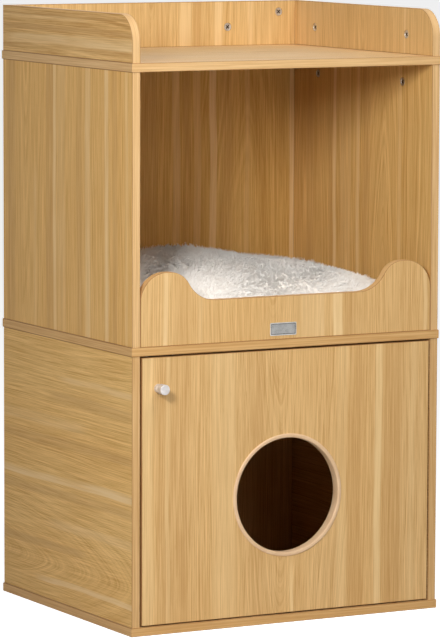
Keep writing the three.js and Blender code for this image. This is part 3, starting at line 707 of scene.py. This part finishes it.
laminate(
    "door",
    across="X",
    along="Z",
    seed=14.9,
    heart=(-0.010, 0.010, 0.17),
    bend=0.7,
    # The door's banding is darker than the other panels': painted shade in the narrow gaps round the
    # door.
    band=(186, 144, 94),
    pale_tone=(235, 202, 147),
    pale=[
        (-0.271, 0.020, 0.002, 0.004, 0.5),
        (-0.231, 0.005, 0.002, 0.002, 0.45),
        (-0.124, 0.034, 0.008, 0.008, 0.35),
        (0.0095, 0.004, 0.002, 0.001, 0.9, -0.1, 0.13),
        (0.109, 0.014, 0.006, 0.004, 0.35),
        (0.109, 0.014, 0.006, 0.004, 0.6, 0.33, 0.43),
        (0.180, 0.010, 0.003, 0.003, 0.8),
        (0.079, 0.003, 0.002, 0.002, 0.5, -0.1, 0.08),
        (0.250, 0.006, 0.004, 0.004, 0.35),
    ],
    brown=[
        (-0.220, 0.050, 0.010, 0.008, 0.35),
        (-0.207, 0.012, 0.005, 0.005, 0.6, 0.0, 0.22),
        (0.134, 0.020, 0.008, 0.008, 0.4),
        (0.210, 0.030, 0.010, 0.008, 0.4),
        (-0.060, 0.016, 0.010, 0.010, 0.3),
    ],
)

# ---------------------------------------------------------------- entrance trim
# A flexible beige strip of U section is pushed over the rim of the hole from both faces, and covers
# the raw edge.

hole_x, hole_z, hole_radius = 0.0005, 0.221, 0.099
door_front, door_back = -0.2485, -0.2335


def trim_ring():
    """A closed section carried round the hole. In the section, each lip runs from the sleeve out to its
    edge and bulges from the door by rise * sin(t)^0.75, and the sleeve bows inwards by a hair."""
    lip, rise, wall, bow = 0.007, 0.0018, 0.0017, 0.0004
    t = np.linspace(0, pi, 15)
    bulge = rise * np.sin(t) ** 0.75
    front = np.stack([hole_radius + lip / 2 + lip / 2 * np.cos(t), door_front - bulge], -1)
    s = np.linspace(0, 1, 7)[1:-1]
    sleeve = np.stack([hole_radius - bow * np.sin(pi * s), door_front + (door_back - door_front) * s], -1)
    rear = np.stack([hole_radius + lip / 2 - lip / 2 * np.cos(t), door_back + bulge], -1)
    u = np.linspace(0, 1, 5)[1:-1]
    hidden = np.stack([hole_radius + wall + 0 * u, door_back + (door_front - door_back) * u], -1)
    profile = np.concatenate([front, sleeve, rear, hidden])
    turn = np.linspace(0, 2 * pi, 160, endpoint=False)[:, None]
    x = hole_x + profile[None, :, 0] * np.cos(turn)
    z = hole_z + profile[None, :, 0] * np.sin(turn)
    y = np.repeat(profile[None, :, 1], len(turn), 0)
    return smooth(skin("entrance_trim", np.stack([x, y, z], -1), True, True), 60)


trim = trim_ring()
beige, tree, shader, place = new_finish("trim_beige")
drift = noise(tree, stretched(tree, place["Object"], (40, 40, 40)), 2)
grainy = noise(tree, stretched(tree, place["Object"], (1500, 1500, 1500)), 1)
colour = blended(tree, ramped(tree, drift, 0.3, 0.7), paint(226, 191, 151), paint(217, 180, 140))
wire_finish(tree, shader, colour, ramped(tree, grainy, 0.3, 0.7, 0.42, 0.55), grainy, 0.15, 0.0001)
trim.data.materials.append(beige)
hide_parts("door_hole_trim")
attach(trim, "door")

# ---------------------------------------------------------------- knob
# A small turned knob in satin nickel: a foot against the door, a shallow groove, and the head that is
# pulled. A screw from inside the door holds it.

knob_x, knob_z = -0.2496, 0.4195


def turned_knob():
    """A profile of radius against height, carried round the knob's axis, which points at the viewer:
    a foot, a groove and the head. The head's corners are quarter circles, and its face is a dome that
    falls by dome * share^2 from the middle to the rim."""
    foot, groove, head, length = 0.0076, 0.0066, 0.0088, 0.0265
    foot_top, groove_top, rim, dome, break_edge = 0.009, 0.0115, 0.0010, 0.0003, 0.0005
    quarter = np.linspace(0, pi / 2, 7)
    low = [[0, 0], [foot, 0], [foot, foot_top - break_edge], [foot - break_edge, foot_top]]
    low += [[groove, foot_top], [groove, groove_top]]
    sine, cosine = rim * np.sin(quarter), rim * np.cos(quarter)
    shoulder = np.stack([head - rim + sine, groove_top + rim - cosine], -1)
    corner = np.stack([head - rim + cosine, length - dome - rim + sine], -1)
    share = np.linspace(1, 0, 9)[1:]
    face = np.stack([(head - rim) * share, length - dome * share**2], -1)
    profile = np.concatenate([low, shoulder, corner, face])
    turn = np.linspace(0, 2 * pi, 96, endpoint=False)[None, :]
    x = knob_x + profile[:, :1] * np.cos(turn)
    z = knob_z + profile[:, :1] * np.sin(turn)
    y = door_front - np.repeat(profile[:, 1:], turn.shape[1], 1)
    return smooth(skin("door_knob", np.stack([x, y, z], -1), wrap_columns=True), 35)


knob = turned_knob()
satin_nickel = metal("satin_nickel", (222, 216, 213), 0.42)
satin_nickel.node_tree.nodes["Principled BSDF"].inputs["Metallic"].default_value = 0.5
knob.data.materials.append(satin_nickel)
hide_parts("knob")
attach(knob, "door")
dress(steel, "knob_screw")

# ---------------------------------------------------------------- cup hinges
# Two concealed hinges: each cup is pressed into the door, and its arm reaches round to a mounting
# plate on the right side. They show when the door is open.

dress(steel, *[name for name in nodes if "_hinge_" in name or "_plate_screw_" in name])

# ---------------------------------------------------------------- magnetic catch
# A brown plastic case is screwed under the middle board at the door's free corner. It holds a ferrite
# magnet, which pulls a small steel strike on the inside of the door.

catch_brown, tree, shader, place = new_finish("catch_brown_plastic")
spark = noise(tree, stretched(tree, place["Object"], (1200, 1200, 1200)), 2)
colour = blended(tree, spark, paint(70, 48, 32), paint(84, 60, 42))
wire_finish(tree, shader, colour, ramped(tree, spark, 0.3, 0.7, 0.38, 0.52), spark, 0.3, 0.0001)
dress(catch_brown, "catch_case")
dress(metal("catch_ferrite", (60, 58, 58), 0.5), "catch_magnet")
dress(steel, "catch_screw_left", "catch_screw_right", "catch_strike", "strike_screw")

# ---------------------------------------------------------------- cushion
# A loose cushion in white long-pile plush fills the floor of the niche. It is crowned, its sides pull
# in between the corners, and its stuffing has gathered left of the middle.


def cushion_form(name, shrink):
    """Rings of a rounded rectangle, |x|^5.5 + |y|^5.5 = 1, drawn in by up to 7 mm between the corners.
    On top, ring s lies at 42 mm + 43 mm * sqrt(1 - s^6) + 22 mm * (1 - s^2)^1.2 above the board, plus a
    swell of 24 mm * (1 - s^6) * exp(-(distance / 115 mm)^2). Below, it curls under from the seam."""
    half_x, half_y, squareness, pinch = 0.275 - shrink, 0.225 - shrink, 5.5, 0.007
    rest, seam, shoulder, crown = 0.4903, 0.042, 0.043, 0.022
    swell, swell_reach, swell_x, swell_y = 0.024, 0.115, -0.075, 0.05
    flat = 0.86
    angle = np.linspace(0, 2 * pi, 144, endpoint=False)[None, :]

    def squarish(value):
        return np.sign(value) * np.abs(value) ** (2 / squareness)

    ax, ay = squarish(np.cos(angle)), squarish(np.sin(angle))
    curl = flat + (1 - flat) * np.sin(np.linspace(0, pi / 2, 12)[1:])
    under = np.concatenate([np.linspace(0, flat, 10), curl])
    over = np.concatenate([np.cos(np.linspace(0, pi / 2, 34)[1:]) ** 0.8, [0.0]])
    share = np.concatenate([under, over])[:, None]
    x = share * (half_x - pinch * (1 - ay**2)) * ax
    y = share * (half_y - pinch * (1 - ax**2)) * ay
    lift = np.clip((share - flat) / (1 - flat), 0, 1)
    low = seam * (1 - np.sqrt(1 - lift**2)) + 0 * x
    away = np.hypot(x - swell_x, y - swell_y) / swell_reach
    turned_down = np.clip(1 - share**6, 0, 1)
    high = seam + shoulder * np.sqrt(turned_down) + crown * np.clip(1 - share**2, 0, 1) ** 1.2
    high = high + swell * turned_down * np.exp(-(away**2))
    on_top = (np.arange(len(share)) >= len(under))[:, None]
    z = rest + np.where(on_top, high, low) - shrink * np.where(on_top, 1, 0)
    return skin(name, np.stack([x, y, z], -1), wrap_columns=True)


def plump(form):
    """The cover blown out by its stuffing: the form is remeshed evenly and simulated as cloth under
    pressure, no point moves further than the cap, and it stays on the board and between the panels."""
    voxel, pressure, frames, cap = 0.0055, 4.0, 20, 0.006
    low_corner, high_corner = [-0.2800, -0.2300, 0.4903], [0.2800, 0.2300, 1.0]
    even = form.modifiers.new("even", "REMESH")
    even.mode, even.voxel_size = "VOXEL", voxel
    bpy.context.view_layer.update()
    mesh = bpy.data.meshes.new_from_object(form.evaluated_get(bpy.context.evaluated_depsgraph_get()))
    form.modifiers.clear()
    form.data = mesh
    start = np.zeros(len(mesh.vertices) * 3)
    mesh.vertices.foreach_get("co", start)
    moved = start.copy()
    cloth = form.modifiers.new("cover", "CLOTH")
    cloth.settings.use_pressure = True
    cloth.settings.uniform_pressure_force = pressure
    cloth.settings.effector_weights.gravity = 0.0
    cloth.point_cache.frame_end = frames
    for frame_number in range(1, frames + 1):
        bpy.context.scene.frame_set(frame_number)
    shown = form.evaluated_get(bpy.context.evaluated_depsgraph_get())
    shown.data.vertices.foreach_get("co", moved)
    form.modifiers.clear()
    bpy.context.scene.frame_set(1)
    start, moved = start.reshape(-1, 3), moved.reshape(-1, 3)
    step = moved - start
    far = np.linalg.norm(step, axis=1, keepdims=True)
    spots = start + step * np.minimum(1, cap / np.maximum(far, 1e-9))
    spots = np.clip(spots, low_corner, high_corner)
    mesh.vertices.foreach_set("co", spots.ravel())
    mesh.update()
    rounded = form.modifiers.new("rounded", "SUBSURF")
    rounded.levels = rounded.render_levels = 1
    return form


cushion = smooth(plump(cushion_form("cushion_body", 0.004)), 180)

plush, tree, shader, place = new_finish("white_plush")
lock = noise(tree, stretched(tree, place["Object"], (60, 60, 60)), 3, 0.6)
hair = noise(tree, stretched(tree, place["Object"], (900, 900, 900)), 2)
depth = put(tree, "Attribute", attribute_name="pile").outputs["Fac"]
# Strand roots are painted darker than the tips: painted shade deep in the pile.
colour = blended(tree, ramped(tree, depth, 0.0, 0.6), paint(244, 236, 226), paint(254, 249, 241))
colour = blended(tree, ramped(tree, lock, 0.5, 0.8, 0.0, 0.4), colour, paint(247, 240, 230))
wire_finish(tree, shader, colour, ramped(tree, hair, 0.2, 0.8, 0.8, 0.95), lock, 0.5, 0.003)
shader.inputs["Sheen Weight"].default_value = 0.3
shader.inputs["Specular IOR Level"].default_value = 0.15
cushion.data.materials.append(plush)


def planted(form, count, dice):
    """Roots spread evenly over a form, with the normals there. A root is a random point of a random
    triangle, chosen by area times (upright + 0.75), so that few are set on the underside."""
    mesh = form.data
    mesh.calc_loop_triangles()
    faces = np.zeros(len(mesh.loop_triangles) * 3, np.int32)
    mesh.loop_triangles.foreach_get("vertices", faces)
    faces = faces.reshape(-1, 3)
    spots = np.zeros(len(mesh.vertices) * 3)
    mesh.vertices.foreach_get("co", spots)
    spots = spots.reshape(-1, 3)
    a, b, c = spots[faces[:, 0]], spots[faces[:, 1]], spots[faces[:, 2]]
    cross = np.cross(b - a, c - a)
    area = np.linalg.norm(cross, axis=1) / 2
    upright = cross[:, 2] / np.maximum(2 * area, 1e-12)
    weight = area * np.clip(upright + 0.75, 0, 1)
    pick = dice.choice(len(faces), count, p=weight / weight.sum())
    u, v = dice.random((2, count, 1))
    fold = u + v > 1
    u, v = np.where(fold, 1 - u, u), np.where(fold, 1 - v, v)
    root = a[pick] + u * (b - a)[pick] + v * (c - a)[pick]
    return root, cross[pick] / np.maximum(2 * area[pick], 1e-12)[:, None]


def pile(name, form, count, seed, reach, stand):
    """Strands of pile on a form, matted into locks. A strand's middle line is root + reach *
    (t * (stand * normal + (1 - stand) * flow) - t^2 * droop * up), where the flow is a slow swirl with
    some scatter, and the tip is drawn towards one point of the 11 mm cell that the strand grows in.
    Two rings of three points and a tip are set on that line."""
    cell_size, cells, gathering, droop, scatter = 0.011, 64, 0.6, 0.14, 0.3
    thin, thin_spread, taper, roundness = 0.0005, 0.0004, np.array([1.0, 0.8]), 0.35
    wall_x, wall_y = 0.2830, 0.2330
    dice = np.random.default_rng(seed)
    root, normal = planted(form, count, dice)
    x, y, _ = root.T
    swirl = -0.7 + 1.3 * np.sin(11 * x + 4.1) + 1.1 * np.sin(14 * y - 1.3) + 0.8 * np.sin(23 * (x - y))
    flow = np.stack([np.cos(swirl), np.sin(swirl), 0 * swirl], -1) + dice.normal(0, scatter, (count, 3))
    flow -= normal * (flow * normal).sum(1, keepdims=True)
    flow /= np.linalg.norm(flow, axis=1)[:, None]
    length = reach * (0.75 + 0.5 * dice.random((count, 1)))
    length = length * (0.85 + 0.3 * np.sin(31 * x + 2) * np.sin(27 * y + 1))[:, None]
    length = length * np.clip(0.4 + 0.8 * normal[:, 2:], 0.4, 1)
    cell = np.floor(root / cell_size).astype(int)
    jitter = np.random.default_rng(99).random((cells, cells, 3))[cell[:, 0] % cells, cell[:, 1] % cells]
    gather = (cell + 0.2 + 0.6 * jitter) * cell_size - root
    gather -= normal * (gather * normal).sum(1, keepdims=True)
    rises = (stand * (0.7 + 0.6 * jitter[:, 2:])) * normal + (1 - stand) * flow
    t = np.array([-0.06, 0.5, 1.0])[None, :, None]
    middle = root[:, None] + length[:, None] * (t * rises[:, None] + t * t * np.array([0, 0, -droop]))
    middle = middle + np.clip(t, 0, 1) ** 1.5 * gathering * gather[:, None]

    side = np.cross(normal, dice.normal(0, 1, (count, 3)))
    side /= np.linalg.norm(side, axis=1)[:, None]
    other = np.cross(normal, side)
    turn = np.array([0, 2 * pi / 3, 4 * pi / 3])
    spokes = side[:, None] * np.cos(turn)[:, None] + other[:, None] * np.sin(turn)[:, None]
    thick = (thin + thin_spread * dice.random(count))[:, None, None, None]
    rings = middle[:, :2, None] + thick * taper[None, :, None, None] * spokes[:, None]
    points = np.concatenate([rings.reshape(count, 6, 3), middle[:, 2:]], 1)
    points[..., 0] = np.clip(points[..., 0], -wall_x, wall_x)
    points[..., 1] = np.clip(points[..., 1], -wall_y, wall_y)
    quads = np.array([[k, (k + 1) % 3, 3 + (k + 1) % 3, 3 + k] for k in range(3)])
    tips = np.array([[3 + k, 3 + (k + 1) % 3, 6] for k in range(3)])
    shift = np.arange(count)[:, None, None] * 7
    walls = (quads + shift).reshape(-1, 4).tolist() + (tips + shift).reshape(-1, 3).tolist()
    made = bpy.data.meshes.new(name)
    made.from_pydata(points.reshape(-1, 3).tolist(), [], walls)
    # The pile attribute runs from 0.1 at the root to 1 at the tip, and the finish paints low values
    # darker as painted shade.
    shade = made.attributes.new("pile", "FLOAT", "POINT")
    shade.data.foreach_set("value", np.tile(np.float32([0.1] * 3 + [0.6] * 3 + [1.0]), count))
    made.polygons.foreach_set("use_smooth", np.ones(len(made.polygons), bool))
    outward = np.concatenate([np.tile(spokes, (1, 2, 1)), rises[:, None]], 1)
    outward = roundness * outward + normal[:, None]
    outward /= np.linalg.norm(outward, axis=2, keepdims=True)
    made.normals_split_custom_set_from_vertices(outward.reshape(-1, 3).tolist())
    made.materials.append(plush)
    piece = bpy.data.objects.new(name, made)
    bpy.context.scene.collection.objects.link(piece)
    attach(piece, "cushion")


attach(cushion, "cushion")
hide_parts("cushion")
pile("cushion_underfur", cushion, 21000, 7, 0.012, 0.35)
pile("cushion_pile_one", cushion, 21000, 8, 0.016, 0.42)
pile("cushion_pile_two", cushion, 21000, 9, 0.016, 0.60)

# ---------------------------------------------------------------- studio
# A pale floor and a white surround, a key lamp on the left, a broad fill in front, two lamps overhead,
# and the camera at the photograph's viewing angle.


def rays_that_look(tree):
    """1 for a ray from the camera, also by way of gloss or glass, and 0 for one that only lights."""
    rays = put(tree, "LightPath").outputs
    direct = calc(tree, "MAXIMUM", rays["Is Camera Ray"], rays["Is Glossy Ray"])
    return calc(tree, "MAXIMUM", direct, rays["Is Transmission Ray"])


floor_reach, floor_glow, floor_matt = 30.0, 0.86, (0.62, 0.62, 0.62, 1)
floor_mesh = bpy.data.meshes.new("studio_floor")
corners = [(x * floor_reach, y * floor_reach, 0) for x, y in ((-1, -1), (1, -1), (1, 1), (-1, 1))]
floor_mesh.from_pydata(corners, [], [(0, 1, 2, 3)])
floor = bpy.data.objects.new("studio_floor", floor_mesh)
bpy.context.scene.collection.objects.link(floor)
floor_white = bpy.data.materials.new("floor_white")
floor_white.use_nodes = True
tree = floor_white.node_tree
tree.nodes.clear()
strength = calc(tree, "MULTIPLY", rays_that_look(tree), floor_glow)
glow = put(tree, "Emission", {"Color": (1, 1, 1, 1), "Strength": strength}).outputs[0]
matt = put(tree, "BsdfDiffuse", {"Color": floor_matt}).outputs[0]
both = put(tree, "AddShader", {0: glow, 1: matt}).outputs[0]
put(tree, "OutputMaterial", {"Surface": both})
floor_mesh.materials.append(floor_white)

world_seen, world_light = 0.99, 0.01
world = bpy.data.worlds.new("studio_surround")
bpy.context.scene.world = world
world.use_nodes = True
tree = world.node_tree
tree.nodes.clear()
strength = calc(tree, "MULTIPLY_ADD", rays_that_look(tree), world_seen, world_light)
surround = put(tree, "Background", {"Color": (1, 1, 1, 1), "Strength": strength}).outputs[0]
put(tree, "OutputWorld", {"Surface": surround})


def lamp(name, spot, aim, power, size):
    """A square lamp at a spot, turned to face its aim."""
    light = bpy.data.lights.new(name, "AREA")
    light.energy, light.size = power, size
    piece = bpy.data.objects.new(name, light)
    bpy.context.scene.collection.objects.link(piece)
    piece.location = spot
    piece.rotation_euler = (Vector(aim) - Vector(spot)).to_track_quat("-Z", "Y").to_euler()


lamp("key_lamp", (-1.762, -1.728, 1.5), (0, -0.1, 0.55), 43, 0.6)
lamp("front_fill_lamp", (0, -3.85, 1.6), (0, -0.1, 0.55), 24, 2.0)
lamp("front_top_lamp", (0.3, -1.4, 3.0), (0, 0, 0.9), 42, 1.4)
lamp("top_lamp", (0, 0.1, 3.2), (0, 0, 0.9), 4, 1.6)

# The camera looks along yaw, to the right of straight ahead, and pitch, downwards, and is rolled a
# little. Its focal length was found in pixels of a picture 640 high, which the sensor's 36 mm span.
yaw, pitch, roll = radians(28.54), radians(6.48), radians(0.204)
eye, focal_pixels, picture_height, sensor = (-3.4396, -6.3304, 1.3151), 4130.4, 640, 36
forward = Vector((sin(yaw) * cos(pitch), cos(yaw) * cos(pitch), -sin(pitch)))
flat_right = Vector((cos(yaw), -sin(yaw), 0))
flat_up = flat_right.cross(forward)
right = cos(roll) * flat_right + sin(roll) * flat_up
up = cos(roll) * flat_up - sin(roll) * flat_right
lens = bpy.data.cameras.new("camera")
lens.sensor_width = sensor
lens.lens = focal_pixels * sensor / picture_height
camera = bpy.data.objects.new("camera", lens)
bpy.context.scene.collection.objects.link(camera)
turned = Matrix((right, up, -forward)).transposed().to_4x4()
camera.matrix_world = Matrix.Translation(eye) @ turned
bpy.context.scene.camera = camera
bpy.context.scene.view_settings.view_transform = "Standard"

bpy.context.view_layer.update()
